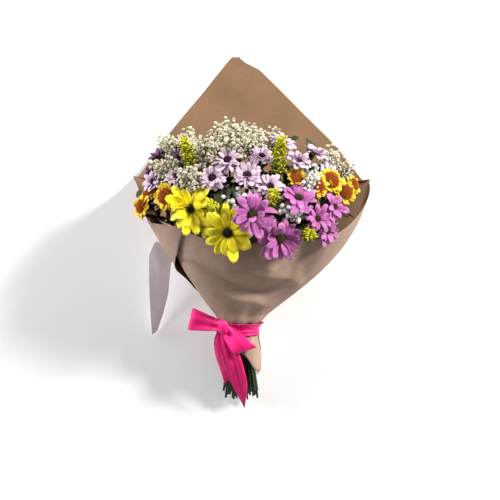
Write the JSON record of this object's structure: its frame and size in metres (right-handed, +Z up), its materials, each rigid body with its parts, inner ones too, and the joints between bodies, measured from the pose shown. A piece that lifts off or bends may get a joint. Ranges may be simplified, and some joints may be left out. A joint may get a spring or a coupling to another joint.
{
  "type": "mixed flower bouquet",
  "caption": "Hand-tied bouquet of daisies, button flowers, baby's breath and goldenrod in a kraft paper cone with a satin ribbon bow, lying on its back.",
  "frame": {"origin": "middle of the footprint, on the surface the bouquet lies on", "axes": "+Y from the cut stems towards the peak of the paper, +Z up from the surface, +X to the right seen from above with the stems towards the viewer"},
  "size_m": [0.3801, 0.5764, 0.2356],
  "materials": {
    "yellow_daisy": "matte",
    "pink_daisy": "matte",
    "lilac_daisy": "matte",
    "bronze_button": "matte",
    "plum_aster": "matte",
    "baby_breath": "matte",
    "goldenrod": "matte",
    "foliage": "matte",
    "kraft": "matte",
    "white_paper": "matte",
    "ribbon": "satin"
  },
  "bodies": {
    "root": {"yellow_daisy_1": "yellow_daisy", "yellow_daisy_2": "yellow_daisy", "yellow_daisy_3": "yellow_daisy", "pink_daisy_1": "pink_daisy", "pink_daisy_2": "pink_daisy", "pink_daisy_3": "pink_daisy", "pink_daisy_4": "pink_daisy", "pink_daisy_5": "pink_daisy", "pink_daisy_6": "pink_daisy", "lilac_daisy_1": "lilac_daisy", "lilac_daisy_2": "lilac_daisy", "lilac_daisy_3": "lilac_daisy", "lilac_daisy_4": "lilac_daisy", "lilac_daisy_5": "lilac_daisy", "lilac_daisy_6": "lilac_daisy", "lilac_daisy_7": "lilac_daisy", "lilac_daisy_8": "lilac_daisy", "lilac_daisy_9": "lilac_daisy", "lilac_daisy_10": "lilac_daisy", "lilac_daisy_11": "lilac_daisy", "bronze_button_1": "bronze_button", "bronze_button_2": "bronze_button", "bronze_button_3": "bronze_button", "bronze_button_4": "bronze_button", "bronze_button_5": "bronze_button", "bronze_button_6": "bronze_button", "bronze_button_7": "bronze_button", "bronze_button_8": "bronze_button", "plum_aster_1": "plum_aster", "plum_aster_2": "plum_aster", "plum_aster_3": "plum_aster", "baby_breath_1": "baby_breath", "baby_breath_2": "baby_breath", "baby_breath_3": "baby_breath", "baby_breath_4": "baby_breath", "baby_breath_5": "baby_breath", "baby_breath_6": "baby_breath", "baby_breath_7": "baby_breath", "baby_breath_8": "baby_breath", "baby_breath_9": "baby_breath", "baby_breath_10": "baby_breath", "goldenrod_1": "goldenrod", "goldenrod_2": "goldenrod", "goldenrod_3": "goldenrod", "goldenrod_4": "goldenrod", "goldenrod_5": "goldenrod", "foliage_1": "foliage", "foliage_2": "foliage", "foliage_3": "foliage", "kraft_back_sheet": "kraft", "kraft_front_sheet": "kraft", "white_lining_sheet": "white_paper", "ribbon": "ribbon"}
  },
  "joints": []
}
